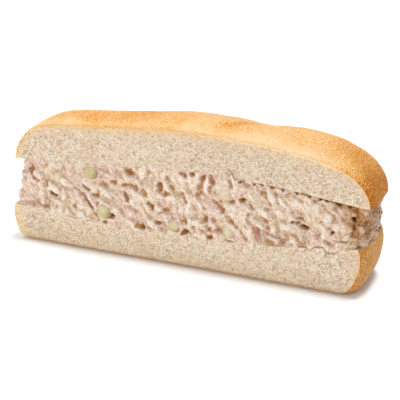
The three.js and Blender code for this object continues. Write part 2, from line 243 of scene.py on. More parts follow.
def holes(u, v, cell, share, seed):
    """Round holes strewn over a plane: one may lie in each lattice cell, with its own place, radius and
    stretch. Gives the depth of a half ball there, from 0 to 1."""
    iu, iv = np.floor(u / cell).astype(np.int64), np.floor(v / cell).astype(np.int64)
    depth = np.zeros_like(u)
    for du in (-1, 0, 1):
        for dv in (-1, 0, 1):
            corner = (iu + du, iv + dv, np.zeros_like(iu))
            r = [lattice_random(corner, seed + k) for k in range(5)]
            radius = cell * (0.22 + 0.36 * r[2] ** 2) * (r[3] < share)
            x = u - (iu + du + 0.15 + 0.7 * r[0]) * cell
            y = v - (iv + dv + 0.15 + 0.7 * r[1]) * cell
            a, b = turned(x, y, math.pi * r[4], radius + 1e-6, 0.7 * radius + 1e-6)
            depth = np.maximum(depth, np.sqrt(np.clip(1 - a * a - b * b, 0, 1)))
    return depth


def height_at(heights, x):
    """A smooth cubic curve through heights at equal stations."""
    heights = np.array(heights, float)
    last = len(heights) - 1
    place = np.clip((x + STATION_REACH) / (2 * STATION_REACH) * last, 0, last)
    i = np.minimum(place.astype(int), last - 1)
    t = place - i
    before, start, end, after = (heights[np.clip(i + k, 0, last)] for k in (-1, 0, 1, 2))
    slope_in, slope_out = (end - before) / 2, (after - start) / 2
    return (
        start * (2 * t**3 - 3 * t**2 + 1)
        + slope_in * (t**3 - 2 * t**2 + t)
        + end * (3 * t**2 - 2 * t**3)
        + slope_out * (t**3 - t**2)
    )


def bottom_face(x):
    """The height of the bottom half's sliced face along the cut."""
    return height_at(BOTTOM_FACE_HEIGHTS, x)


def top_face(x):
    """The height of the top half's sliced face along the cut."""
    return height_at(TOP_FACE_HEIGHTS, x)


def outline_point(angle, plan, inset):
    """The point of a plan's superellipse at an angle round its centre, drawn in by an inset, then turned
    with the roll and set behind the cut."""
    c, s = np.cos(angle), np.sin(angle)
    power = np.where(s < 0, *plan["powers"])
    radius = (np.abs(c) ** power + np.abs(s) ** power) ** (-1 / power)
    along, across = radius * c * (plan["length"] - inset), radius * s * (plan["width"] - inset)
    x, y = turned(along, across, -ROLL_TURN)
    return plan["centre"] + x, MIDDLE_DEPTH + y


def halved(is_low, low, high, times):
    """The place between low and high where a test stops being true, by halving."""
    for _ in range(times):
        middle = (low + high) / 2
        below = is_low(middle)
        low, high = np.where(below, middle, low), np.where(below, high, middle)
    return low


def inset_at(x, y, plan):
    """How far inside a plan's outline a point lies, by halving: the superellipse is drawn in to meet it."""
    along, across = turned(x - plan["centre"], y - MIDDLE_DEPTH, ROLL_TURN)
    power = np.where(across < 0, *plan["powers"])
    along, across = np.abs(along), np.abs(across)

    def is_within(inset):
        length, width = plan["length"] - inset, plan["width"] - inset
        return (along / length) ** power + (across / width) ** power < 1

    return halved(is_within, 0, plan["width"] - 1e-6, INSET_HALVINGS)


def arc_round_back(plan, inset):
    """Rows of points along the outline behind the cut, one row for each inset, from its left end at the
    cut round the back to its right end, at equal shares of its length."""
    inset = np.atleast_1d(inset)

    def is_behind(angle):
        return outline_point(angle, plan, inset)[1] > 0

    # each end lies between an angle behind the cut and one before it
    right = halved(is_behind, 0, -math.pi / 2, ANGLE_HALVINGS)
    left = halved(is_behind, math.pi, 1.5 * math.pi, ANGLE_HALVINGS)
    angle = mix(left[:, None], right[:, None], np.linspace(0, 1, ARC_STEPS)[None, :])
    x, y = outline_point(angle, plan, inset[:, None])
    steps = np.hypot(np.diff(x, axis=1), np.diff(y, axis=1))
    run = np.concatenate([np.zeros((len(inset), 1)), np.cumsum(steps, axis=1)], axis=1)
    shares, reached = np.linspace(0, 1, CUT_COLUMNS), run / run[:, -1:]
    rows = [[np.interp(shares, share, c[k]) for c in (x, y)] for k, share in enumerate(reached)]
    points = np.moveaxis(np.array(rows), 1, -1)
    points[:, [0, -1], 1] = 0
    return points


def along_cut(left, right):
    """Places along the cut face, closer together near its ends."""
    t = np.linspace(0, 1, CUT_COLUMNS)
    eased = mix(t, (1 - np.cos(math.pi * t)) / 2, 0.5)
    return mix(left, right, eased)


def grid_normals(points):
    """Unit normals of a grid of points, from the cross product of its two directions."""
    return unit(np.cross(np.gradient(points, axis=0), np.gradient(points, axis=1)))


# The solids' frame: a celery piece lies at a known place in both, which gives the way from one to the other
celery_boxes = [[np.array(corner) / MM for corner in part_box(f"celery_{k + 1}")] for k in range(len(CELERY))]
first_celery_x = np.mean([corner[0] for corner in celery_boxes[0]])
OFFSET = np.array([first_celery_x - CELERY[0][0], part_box("bun_top")[0][1] / MM, 0.0])
celery_boxes = [(low - OFFSET, high - OFFSET) for low, high in celery_boxes]


def new_object(name, data):
    """An object with that data, in the scene."""
    made = bpy.data.objects.new(name, data)
    bpy.context.scene.collection.objects.link(made)
    return made


def build_mesh(name, patches, attributes, sharp_angle=None):
    """Joins grids of points (rows, columns, xyz) into one closed mesh: each cell is two triangles, equal
    points are welded, and triangles that collapse are dropped. attributes holds one grid of values for
    each patch, by name."""
    points, triangles, start = [], [], 0
    for patch in patches:
        rows, columns = patch.shape[:2]
        index = np.arange(rows * columns).reshape(rows, columns) + start
        a, b, c, d = index[:-1, :-1], index[:-1, 1:], index[1:, 1:], index[1:, :-1]
        triangles += [np.stack(corners, -1).reshape(-1, 3) for corners in ([a, b, c], [a, c, d])]
        points.append(patch.reshape(-1, 3))
        start += rows * columns
    points, triangles = np.concatenate(points), np.concatenate(triangles)
    keys = np.round(points / WELD).astype(np.int64)
    _, first, welded = np.unique(keys, axis=0, return_index=True, return_inverse=True)
    triangles = welded.reshape(-1)[triangles]
    triangles = triangles[(triangles != np.roll(triangles, 1, axis=1)).all(axis=1)]
    mesh = bpy.data.meshes.new(name)
    mesh.vertices.add(len(first))
    mesh.vertices.foreach_set("co", ((points[first] + OFFSET) * MM).astype(np.float32).ravel())
    mesh.loops.add(triangles.size)
    mesh.loops.foreach_set("vertex_index", triangles.astype(np.int32).ravel())
    mesh.polygons.add(len(triangles))
    mesh.polygons.foreach_set("loop_start", np.arange(0, triangles.size, 3, dtype=np.int32))
    mesh.update(calc_edges=True)
    mesh.polygons.foreach_set("use_smooth", np.ones(len(triangles), bool))
    for key, grids in attributes.items():
        values = np.concatenate([np.broadcast_to(g, p.shape[:2]).reshape(-1) for g, p in zip(grids, patches)])
        layer = mesh.attributes.new(key, "FLOAT", "POINT")
        layer.data.foreach_set("value", values[first].astype(np.float32))
    if sharp_angle:
        mesh.set_sharp_from_angle(angle=sharp_angle)
    mesh.validate()
    return new_object(name, mesh)


def crumb_relief(x, z, seed):
    """How deep the crumb's pores are at a place of the cut face, in mm: round holes of two sizes, and
    the slow waves that a knife leaves in soft bread."""
    p = joined(x, 0, z)
    fine = holes(x, z, 1.15, 0.8, seed) * 0.42
    middle = holes(x, z, 2.6, 0.25, seed + 7) * 0.5
    grain = 0.10 * noise(p, 0.9, seed) + 0.07 * noise(p, 2.1, seed + 1)
    waves = 0.22 * noise(p, 17, seed + 2)
    return np.maximum(fine, middle) + grain + waves


def rim_distance(points, line):
    """The distance of each point to the nearest point of a line, both in the cut face, up to RIM_REACH."""
    flat = points.reshape(-1, 2)
    best = np.full(len(flat), RIM_REACH)
    for start in range(0, len(flat), POINTS_AT_ONCE):
        some = slice(start, start + POINTS_AT_ONCE)
        away = flat[some, None] - line[None]
        best[some] = np.minimum(np.hypot(away[..., 0], away[..., 1]).min(1), RIM_REACH)
    return best.reshape(points.shape[:2])


def crust_above(x, y, inset):
    """The dome: an ellipse's height over the inset, with fuller shoulders at the ends, less the crease."""
    left_power, middle_power, right_power = DOME_POWERS
    end_share = smooth(STATION_REACH - DOME_END_REACH, STATION_REACH, np.abs(x))
    power = mix(middle_power, np.where(x < 0, left_power, right_power), end_share)
    rise = (1 - (1 - inset / TOP["width"]) ** 2) ** power
    off = (x - CREASE["x"] - CREASE["slant"] * (y - CREASE["y"])) / CREASE["half_width"]
    crease = CREASE["depth"] * smooth(4, 22, inset) * smooth(0, 22, y) * np.exp(-off * off)
    return top_face(x) + DOME_HEIGHT * rise - crease


def crust_relief(points, fade, seed):
    """Moves crust in and out along its normals: slow dents, small wrinkles and fine blisters."""
    waves = enumerate(CRUST_WAVES.values())
    bump = sum(height * noise(points, cell, seed + k) for k, (height, cell) in waves)
    return points + grid_normals(points) * (bump * fade)[..., None]


def crust_bake_and_end_shade(x, y):
    """How much browner the crust is painted: towards the back, in the crease and in a narrow line at the cut,
    as the oven left it;
    at the right end partly as the oven left it and partly as painted shade; and less at the left end and in
    pale stretches by the cut."""
    along, across = 0.66 * (x - 22) + 0.75 * (y - 12), 0.66 * (y - 12) - 0.75 * (x - 22)
    crease = np.exp(-((along / 8) ** 2) - (across / 2.6) ** 2)
    crease = crease + 0.3 * np.exp(-((along / 10) ** 2) - (across / 7) ** 2)
    pale = 0.11 * smooth(-5, 0, x - 0.6 * y) * smooth(23, 12, x - 0.6 * y) * smooth(18, 9, y)
    pale = pale + 0.09 * smooth(18, 40, x) * smooth(78, 62, x) * smooth(24, 6, y)
    pale = pale + 0.06 * smooth(4, 0, y) * smooth(0, 30, x) * smooth(80, 70, x)
    # the right end's extra browning is partly painted shade
    ends = 0.11 * smooth(54, 76, x) + 0.52 * smooth(78, 90, x) - 0.3 * smooth(-64, -84, x)
    line_at_cut = 0.12 * smooth(1.6, 0.4, y) * smooth(-60, -30, x)
    over_back = 0.13 * smooth(0, 8, y) - 0.07 * smooth(9, 18, y)
    return over_back + ends + 0.21 * crease - pale + line_at_cut


def make_top_half():
    """The top half: a dome over the plan behind the cut, its cut face and its sliced underside. Dome and
    underside are ruled between the cut line and the outline round the back."""
    arc = arc_round_back(TOP, 0.0)[0]
    line = joined(along_cut(arc[0, 0], arc[-1, 0]), 0)

    # rows lie closer together towards the back, where the dome falls away
    ahead = 1 - np.linspace(0, 1, CRUST_ROWS)[:, None, None]
    x, y = np.moveaxis(mix(line[None], arc[None], 1 - ahead * (0.45 + 0.55 * ahead)), -1, 0)
    inset = inset_at(x, y, TOP)
    inset[-1] = 0
    inset[:, [0, -1]] = 0
    dome = joined(x, y, crust_above(x, y, inset))
    dome = crust_relief(dome, smooth(0, 2.5, inset) * smooth(0, 1.5, y), 0)

    v = np.linspace(0, 1, FACE_ROWS)[:, None]
    low, high = top_face(line[:, 0])[None], dome[0, :, 2][None]
    fx = np.broadcast_to(line[:, 0][None], (FACE_ROWS, CUT_COLUMNS))
    fz = mix(low, high, v)
    edge_distance = np.minimum(fz - low, high - fz)
    pores = crumb_relief(fx, fz, 30)
    face = joined(fx, pores * smooth(0, 2.4, fz - low) * smooth(0, 0.6, edge_distance), fz)
    rim = rim_distance(face[..., [0, 2]], dome[0][::2, [0, 2]])

    ux, uy = np.moveaxis(rows_between(line, arc, SLICED_ROWS), -1, 0)
    under = joined(ux, uy, top_face(ux))
    under_inset = inset_at(ux, uy, TOP)
    lift = 0.35 * noise(under, 3.0, 5) * smooth(0, 2, under_inset) * smooth(0, 2, uy)
    under[..., 2] += np.abs(lift)

    patches = [dome, face, under[::-1]]
    attributes = {
        "crumb": [0.0, 1.0, 1.0],
        "bake": [crust_bake_and_end_shade(x, y), 0.0, 0.0],
        "rim_mm": [y, rim, under_inset[::-1]],
        "pore": [0.0, pores, 0.1],
    }
    return build_mesh("bread_top_half", patches, attributes, SHARP_ANGLE)


def drawn_in(height):
    """How far the front edge of the bottom half is rounded back at a height over the table."""
    above = np.maximum(0, 1 - height / FRONT_FILLET)
    return FRONT_FILLET * (1 - np.sqrt(1 - above**2))


def make_bottom_half():
    """The bottom half: its rounded side is rings from the rim down to the flat underside, each ring cut
    off at y = 0 and drawn back a little near the table. The cut face has the rings' ends as its sides."""
    level = np.linspace(1, 0, SIDE_ROWS)
    around = np.arcsin(1 - level)
    lean = RIM_LEAN * np.maximum(0, 1 - around / RIM_LEAN_ANGLE) ** 2
    arcs = arc_round_back(BOTTOM, BASE_FILLET * (1 - np.cos(around)) + lean)
    x, y = np.moveaxis(arcs, -1, 0)
    z = bottom_face(x) * level[:, None]
    back = y + drawn_in(z) * smooth(FRONT_FILLET_REACH, 0, y)
    side = joined(x, back, z)
    depth = np.minimum(side[..., 2], bottom_face(x) - side[..., 2])
    side = crust_relief(side, -smooth(0, 2, depth) * smooth(0, 1.5, y), 50)

    fx = np.stack([along_cut(row[0, 0], row[-1, 0]) for row in arcs])
    fz = bottom_face(fx) * level[:, None]
    lower_edge = joined(fx[-1], 0)[::2]
    outline = np.concatenate([side[:, 0][:, [0, 2]], lower_edge, side[:, -1][:, [0, 2]]])
    rim = rim_distance(joined(fx, fz), outline)
    shown_rim = rim + 2.4 * smooth(82, 70, np.abs(fx))
    pores = crumb_relief(fx, fz, 60)
    fade = smooth(0, 0.8, rim) * smooth(0, 2.4, bottom_face(fx) - fz)
    face = joined(fx, pores * fade + drawn_in(fz), fz)

    def flat(row, height, rows):
        """A face on straight lines from a row of the cut face to the same ring round the back."""
        line, arc = joined(fx[row], drawn_in(fz[row])), joined(x[row], back[row])
        px, py = np.moveaxis(rows_between(line, arc, rows), -1, 0)
        return joined(px, py, height(px))

    sliced = flat(0, bottom_face, SLICED_ROWS)
    sliced_inset = inset_at(sliced[..., 0], sliced[..., 1], BOTTOM)
    base = flat(-1, lambda px: 0 * px, BASE_ROWS)
    patches = [side, face[::-1], sliced, base[::-1]]
    attributes = {
        "crumb": [0.0, 1.0, 1.0, 0.0],
        # the bottom half's right end is made browner, partly as painted shade
        "bake": [0.08 + 0.2 * smooth(60, 88, x) - 0.3 * smooth(-60, -84, x), 0.0, 0.0, 0.2],
        "rim_mm": [y, shown_rim[::-1], sliced_inset, 0.0],
        "pore": [0.0, pores[::-1], 0.1, 0.0],
    }
    return build_mesh("bread_bottom_half", patches, attributes, SHARP_ANGLE)


def filling_outline():
    """The tuna salad's outline in plan: along the cut from left to right, then back round the right end,
    the back and the left end. Gives the points, the way out and the distance run."""
    back = arc_round_back(FILLING, 0.0)[0][::-1]
    left, right = back[-1, 0], back[0, 0]
    front = joined(np.linspace(left, right, CUT_COLUMNS), 0)
    points = np.concatenate([front, back])
    out_back = unit(np.gradient(back, axis=0)[:, ::-1] * (1, -1))
    out = np.concatenate([np.tile([0.0, -1.0], (CUT_COLUMNS, 1)), out_back])
    is_left = points[:, 0] < 0
    radius = np.where(is_left, *CORNER_ROUNDINGS)
    away = np.hypot(points[:, 0] - np.where(is_left, left, right), points[:, 1])
    closeness = np.maximum(0, 1 - away / radius) ** 2
    draw = radius * (1 - math.sqrt(0.5)) * closeness
    points = points + joined(np.where(is_left, draw, -draw), draw)
    corner = joined(np.where(is_left, -1.0, 1.0), -1) / math.sqrt(2)
    out = unit(out + (corner - out) * closeness[:, None])
    run = np.concatenate([[0], np.cumsum(np.linalg.norm(np.diff(points, axis=0), axis=1))])
    return points, out, run


def smooth_max(a, b, k):
    """The larger of two heights, rounded over where they are closer than k."""
    m = np.clip(0.5 + 0.5 * (a - b) / k, 0, 1)
    return mix(b, a, m) + k * m * (1 - m)


def box_blur(grid, reach):
    """The mean over a square window of cells, by running sums."""
    for axis in (0, 1):
        before = np.repeat(grid.take([0], axis), reach + 1, axis)
        after = np.repeat(grid.take([-1], axis), reach, axis)
        total = np.cumsum(np.concatenate([before, grid, after], axis), axis)
        n, window = grid.shape[axis], 2 * reach + 1
        grid = (total.take(range(window, window + n), axis) - total.take(range(n), axis)) / window
    return grid


def from_lens(x, z, x0, z0, x1, z1, half_width):
    """How far out places are from the middle of a lens shape round a segment: 1 is its edge."""
    dx, dz = x1 - x0, z1 - z0
    length = math.hypot(dx, dz) + 1e-9
    a, b = x - (x0 + x1) / 2, z - (z0 + z1) / 2
    along, across = (a * dx + b * dz) / length, (b * dx - a * dz) / length
    return np.hypot(along / (length / 2 + half_width), across / half_width)


def tuna_relief(run, z, points3, front):
    """The tuna salad's surface. Its ground is soft lumps that lean with the flakes: the size of a leaning
    noise, which is round on top with creases between. Over it lie long flakes, each a low ellipsoid
    rounded into the rest, and pressed pieces. Hollows and grooves are pressed in along short segments,
    with soft lips. Gives height, pinkness, how far lumps are raised, hollow and strand."""
    rng = np.random.default_rng(SEED)
    total = run[-1]
    x = points3[..., 0]
    lean = 0.35 + 0.55 * smooth(-10, -60, x) + 0.3 * smooth(10, 50, x)
    end_start = run[CUT_COLUMNS]
    run = run[None]
    drawn_out = 0.5 * np.clip(run - end_start, 0, END_LENGTH)

    def leaning(width, length, seed):
        """A noise whose cells lean over, drawn out at the right end, whole in number round the outline."""
        round_trip = total - 0.5 * END_LENGTH
        count = round(round_trip / width)
        place = (run - drawn_out + lean * z) * count / round_trip
        return noise(joined(place, z / length, 0), 1.0, seed, count)

    strength = mix(1.25, 0.7, smooth(-30, -58, x))
    height = np.zeros_like(x)
    for k, (rise, width, length, drop) in enumerate(GROUND_LUMPS):
        height += rise * np.sqrt(leaning(width, length, 80 + k) ** 2 + 0.03) - drop
    height = strength * height + 0.4 * noise(points3, 15, 83) - 0.25
    pink = 0.35 + 0.4 * noise(points3, 8, 84) + 0.25 * noise(points3, 19, 85)
    pink = pink + 0.25 * smooth(-58, -76, x)

    def around(along):
        """How far each column lies from a place on the outline, the shorter way round."""
        away = run[0] - along
        return away - total * np.round(away / total)

    for _ in range(FLAKE_COUNT):
        along, level = rng.uniform(0, total), rng.uniform(z.min(), z.max())
        turn = FLAKE_SLANT + rng.normal(0, 0.4) + (rng.random() < 0.12) * 1.3
        turn *= 0.4 if end_start - 3 < along < end_start + END_LENGTH else 1
        turn -= 0.45 * smooth(STEEP_FROM, STEEP_FROM + 8, along) * smooth(STEEP_TO, STEEP_TO - 8, along)
        half_length, half_width = rng.uniform(1.8, 4.6), rng.uniform(1.0, 2.3)
        half_length *= mix(1, 0.55, smooth(LUMPY_FROM, LUMPY_FROM + 20, along))
        rise, tint = rng.uniform(0.15, 0.85), rng.random() ** 1.6
        away = around(along)
        columns = np.nonzero(np.abs(away) < half_length + 1)[0]
        u, v = turned(away[columns][None], z[:, columns] - level, turn, half_length, half_width)
        r2 = u * u + v * v + 0.25 * u * v
        flake = np.where(r2 < 1.4, rise + 0.9 * np.sqrt(np.maximum(0, 1.4 - r2)) - 0.75, -3)
        old = height[:, columns]
        over = smooth(-0.1, 0.25, flake - old)
        height[:, columns] = np.where(flake > -2, smooth_max(flake, old, 0.5), old)
        pink[:, columns] = mix(pink[:, columns], tint, over)
    creamy = np.zeros_like(height)
    for px, pz, half_length, half_width, tilt, rise, tint in LUMPS:
        u, v = turned(x - px, z - pz, tilt, half_length, half_width)
        share = front * smooth(1.25, 0.55, np.sqrt(u * u + v * v))
        height = mix(height, 0.5 * height + rise, 0.8 * share)
        pink = mix(pink, tint, 0.7 * share)
        creamy = np.maximum(creamy, share * smooth(0.5, 0.1, tint))
    height = box_blur(height, 1) * mix(1, 0.75, smooth(72, 84, x))
    pink = box_blur(box_blur(pink, 3), 2)
    raised = height - box_blur(box_blur(height, 5), 4) + 0.5 * creamy

    hollow = np.zeros_like(height)
    bend = [
        0.5 * noise(points3, 3.2, 90 + k) + 0.35 * noise(points3, 1.4, 93 + k) for k in (0, 1)
    ]
    wobble = 0.40 * noise(points3, 1.9, 96) + 0.24 * noise(points3, 0.9, 97)

    def press(u, x0, z0, x1, z1, half_width, depth, where):
        """A smooth pit inside a lens that noise bends, and a low bell-shaped lip round its edge."""
        r = from_lens(u + bend[0], z + bend[1], x0, z0, x1, z1, 1.7 * half_width) + wobble
        pit = where * depth * smooth(1.05, 0.15, r)
        return pit, where * 0.25 * min(depth, 1) * np.exp(-(((r - 1.35) / 0.3) ** 2))

    def random_hollow(u, z0, where, deep):
        """A pit of random length, width and slant, near the flakes' own slant."""
        turn, half_length = FLAKE_SLANT + rng.normal(0, 0.35), rng.uniform(0.4, 2.0)
        dx, dz = half_length * math.cos(turn), half_length * math.sin(turn)
        return press(u, -dx, z0 - dz, dx, z0 + dz, rng.uniform(0.5, 0.9), deep, where)

    pressed = [press(x, *row, front) for row in HOLLOWS]
    for gx in GAPS_UNDER_BREAD:
        half = rng.uniform(0.1, 0.7)
        gz = top_face(np.array(gx)) - 0.5
        pressed.append(press(x, gx - half, gz, gx + half, gz - 0.1, 0.42, 4.2, front))
    strewn = (
        # count, from and to along the outline, how far inside the edges, where, least and greatest depth
        (SMALL_HOLLOWS, 0, end_start, 2, front, 0.4, 1.0),
        (BACK_HOLLOWS, end_start, total, 1, ~front, 0.6, 2.4),
    )
    for count, first, last, margin, where, least, most in strewn:
        for _ in range(count):
            u = around(rng.uniform(first, last))[None]
            z0, depth = rng.uniform(z.min() + margin, z.max() - margin), rng.uniform(least, most)
            pressed.append(random_hollow(u, z0, where, depth))
    for pit, lip in pressed:
        height = height + lip - 0.75 * np.maximum(0, pit - hollow)
        hollow = np.maximum(hollow, pit)
    strand = np.zeros_like(height)
    for x0, z0, x1, z1, half_width in STRANDS:
        r = from_lens(x + bend[0], z + bend[1], x0, z0, x1, z1, 1.2 * half_width) + wobble
        strand = np.maximum(strand, front * smooth(1.3, 0.5, r))
    return height, pink, raised, hollow, strand


def make_tuna_salad():
    """The tuna salad: a band round its outline, from the lower to the upper sliced face, moved out and in
    by its relief, and closed by a floor and a roof ruled between the cut and the back. In the cut face
    it laps over the crumb a little, unevenly, and turns in behind the bread's edge."""
    plan, out, run = filling_outline()
    v = np.linspace(0, 1, BAND_ROWS)[:, None]
    x, y = plan.T[:, None]
    face_points = joined(x[0], 0, 0)
    in_front = np.arange(len(run)) < CUT_COLUMNS
    is_front = in_front * smooth(0, 6, x[0] - x.min()) * smooth(0, 6, x.max() - x[0])
    uneven = [
        noise(face_points, cell, 70 + k) + 0.6 * noise(face_points, 1.5, 75 + k)
        for k, cell in enumerate((3.2, 5.5))
    ]
    lap_low = CRUMB_LAP * mix(1, 1.35, smooth(26, 34, x[0])) * smooth(-0.3, 0.8, uneven[0])
    lap_top = CRUMB_LAP * smooth(-0.2, 0.9, uneven[1]) * smooth(38, 28, x[0])
    lap_low, lap_top = (0.3 + lap_low) * is_front, (0.4 + lap_top) * is_front
    low, high = bottom_face(x) + BREAD_GAP, top_face(x) - BREAD_GAP
    z = mix(low - lap_low, high + lap_top, v)
    near_left = np.maximum(0, 1 - (x - x.min()) / LEFT_TAPER_LENGTH)
    x = x + LEFT_TAPER * np.maximum(0, z - LEFT_TAPER_FROM) * near_left
    points3 = joined(x, y, z)
    front = in_front[None] & (z > 0)
    height, pink, raised, hollow, strand = tuna_relief(run, z, points3, front)

    # beds for the celery, with mayonnaise drawn up round them
    for (cx, cz, stands, _, mayo), (box_low, box_high) in zip(CELERY, celery_boxes):
        half_x, half_z = (box_high[0] - box_low[0]) / 2, (box_high[2] - box_low[2]) / 2
        r = np.abs((x - cx) / half_x) ** BED_POWER + np.abs((z - cz) / half_z) ** BED_POWER
        r = r ** (1 / BED_POWER)
        r = (r + (0.08 + 0.24 * mayo) * noise(points3, 2.0, 98)) / (1 - 0.5 * mayo - 0.25 * mayo**2)
        snug = np.maximum(height, 0.1 + 0.35 * stands + 0.45 * mayo)
        snug = mix(height, snug, smooth(1.5, 0.5, hollow))
        height = mix(height, snug, front * smooth(1.4, 1.05, r))
        height = np.where(front, mix(stands - BED_DEPTH, height, smooth(0.78, 0.94, r)), height)

    # by the bread it lies flush, but it bulges over the bottom half's right side and draws back below the
    # top half's
    edge_points = joined(x, 0, 0)
    by_bread = smooth(1.8, 0.3, np.minimum(z - low, high - z)) * smooth(1.4, 0.5, hollow)
    overhang = 0.08 + 0.5 * smooth(28, 45, x) * smooth(6, 1, z - low)
    height = mix(height, np.maximum(height, overhang), front * by_bread)
    flush = smooth(2.5, 0.6, z - low) * smooth(-56, -66, x)
    height = mix(height, np.minimum(height, 0.1), front * flush)
    drawn_back = 0.25 + 0.35 * noise(edge_points, 3.5, 72) + 0.6 * smooth(62, 72, x)
    drawn_back = smooth(2.5, 0, high - z) * smooth(22, 38, x) * drawn_back
    height = height - front * np.maximum(drawn_back, 0)
    height = np.where(height > 0, 0.9 * np.tanh(height / 0.9), height)
    broken = smooth(-0.2, 0.6, noise(edge_points, 2.4, 73))
    patchy = smooth(-0.1, 0.7, noise(edge_points, 3.7, 74))
    # painted shade along the seams with the bread: at the top half's edge, broader under its overhang at the
    # right end, and at the bottom half's edge
    top_seam_shade = smooth(1.2, 0.4, np.abs(high + lap_top - z)) * (0.35 + 0.65 * broken)
    top_seam_shade = top_seam_shade + 0.5 * smooth(3.2, 0.6, high - z) * patchy
    top_seam_shade = top_seam_shade + 0.5 * smooth(4.5, 0.5, high - z) * smooth(64, 74, x) * smooth(88, 85, x)
    low_seam_shade = smooth(1.7, 0.7, z - low + lap_low) * (0.2 + 0.8 * broken)
    stain = front * (top_seam_shade * smooth(16, 34, x) + low_seam_shade * smooth(30, 48, x))
    # how far the surface lies below its surroundings, for painted shade in recesses
    cavity = box_blur(height, 4) - height - flush
    # painted shade: browner at the right end and round the back and sides, lighter low down and at the top of
    # the far right end
    skin = np.where(front, smooth(70, 82, x), 0.35 + 0.65 * smooth(72, 80, x))
    skin = skin * (0.6 + 0.4 * smooth(2, 7, z - low))
    skin = skin * (1 - 0.5 * smooth(31, 40, z) * smooth(82, 90, x))
    turned_in = np.minimum(z - low + lap_low, high + lap_top - z)
    turn = (1 - smooth(-0.3, 0.6, turned_in)) * smooth(0.1, 0.8, is_front)
    height = mix(height, -1.2, turn)
    band = points3 + np.concatenate([out, 0 * run[:, None]], 1)[None] * height[..., None]
    band = np.concatenate([band, band[:, :1]], 1)

    def cap(row, face, gap):
        """A floor or roof: the band's edge in front and behind, and rows between them on the bread."""
        inside = rows_between(band[row, :CUT_COLUMNS], band[row, CUT_COLUMNS:-1][::-1], CAP_ROWS)
        inside[1:-1, ..., 2] = face(inside[1:-1, ..., 0]) + gap
        return inside

    patches = [band, cap(0, bottom_face, BREAD_GAP)[::-1], cap(-1, top_face, -BREAD_GAP)]
    attributes = {
        name: [np.concatenate([grid, grid[:, :1]], 1), inside, inside]
        for name, grid, inside in (
            ("pink", pink, 0.3), ("raised", raised, 0.0), ("cavity", cavity, 0.0), ("hollow", hollow, 0.0),
            ("strand", strand, 0.0), ("skin", skin, 0.4), ("stain", stain, 0.0),
        )
    }
    return build_mesh("tuna_salad", patches, attributes)


def make_celery(k):
    """A piece of chopped celery: a rounded box (a superellipsoid) with the stalk's ribs along one way and
    soft dents, as large as its solid."""
    low, high = celery_boxes[k]
    middle, half = (low + high) / 2, (high - low) / 2 * (1.02, 1.08, 1.02)
    lon = np.linspace(-math.pi, math.pi, CELERY_COLUMNS)[None, :]
    lat = np.linspace(-math.pi / 2, math.pi / 2, CELERY_ROWS)[:, None]
    round_off = mix(0.72, 1.0, smooth(0, 0.5, CELERY[k][4]))

    def rounded(value):
        """A sine or cosine to a power of at most 1, which squares its circle off."""
        return np.sign(value) * np.abs(value) ** round_off

    ring = rounded(np.cos(lat))
    ball = joined(ring * rounded(np.cos(lon)), ring * rounded(np.sin(lon)), rounded(np.sin(lat)))
    ball[:, -1] = ball[:, 0]
    ball[[0, -1]] = ball[[0, -1], :1]
    points = middle + ball * half
    ribs = 0.10 * np.cos(points[..., 0] * 2 * math.pi / 1.5 + k) * np.abs(ball[..., 2])
    dents = 0.22 * noise(points, 2.8, 120 + k)
    points = middle + ball * (half + (ribs + dents)[..., None])
    attributes = {
        "green": [CELERY[k][3]],
        # the mayonnaise share rises towards the top as painted highlight
        "mayo": [CELERY[k][4] + 0.45 * ball[..., 2]],
        "shade": [0.75 * ball[..., 0] - 0.45 * ball[..., 2]],
    }
    return build_mesh(f"celery_piece_{k + 1}", [points], attributes)


def linear(hex_colour):
    """An sRGB hex colour as the linear RGBA that shaders take."""
    channels = [int(hex_colour[i : i + 2], 16) / 255 for i in (1, 3, 5)]
    return [c / 12.92 if c <= 0.04045 else ((c + 0.055) / 1.055) ** 2.4 for c in channels] + [1.0]


def add(tree, kind, settings=None, **links):
    """Adds a shader node. settings go on the node itself; links go on its inputs, each a value or another
    node's output. An input's name has _ for a space, and in_N is its Nth input."""
    node = tree.nodes.new("ShaderNode" + kind)
    for key, value in (settings or {}).items():
        setattr(node, key, value)
    for key, value in links.items():
        socket = node.inputs[int(key[3:])] if key.startswith("in_") else node.inputs[key.replace("_", " ")]
        if isinstance(value, bpy.types.NodeSocket):
            tree.links.new(value, socket)
        else:
            socket.default_value = value
    return node


def new_material(name, **fixed):
    """A material with an empty tree but for its Principled shader, which gets the fixed values."""
    material = bpy.data.materials.new(name)
    material.use_nodes = True
    tree = material.node_tree
    tree.nodes.clear()
    shader = add(tree, "BsdfPrincipled")
    for key, value in fixed.items():
        shader.inputs[key.replace("_", " ")].default_value = value
    output = add(tree, "OutputMaterial")
    tree.links.new(shader.outputs["BSDF"], output.inputs["Surface"])
    return material, tree, shader


def paint(tree, colour, layers):
    """Lays colours over a first one. Each layer has a mask, the mask's values where it is absent and where
    it is full, its share when full, its colour and, where it doesn't just cover, its way of mixing."""
    for mask, absent, full, share, cover, *way in layers:
        amount = add(tree, "MapRange", in_0=mask, in_1=absent, in_2=full, in_4=share)
        way = way[0] if way else "MIX"
        cover = cover if isinstance(cover, bpy.types.NodeSocket) else linear(cover)
        mixed = add(
            tree, "Mix", {"data_type": "RGBA", "blend_type": way},
            in_0=amount.outputs["Result"], in_6=colour, in_7=cover,
        )
        colour = mixed.outputs[2]
    return colour


def weighted_sum(tree, total, terms):
    """Adds values, each times its weight, to a first one."""
    for value, weight in terms:
        node = add(tree, "Math", {"operation": "MULTIPLY_ADD"}, in_0=value, in_1=weight, in_2=total)
        total = node.outputs[0]
    return total


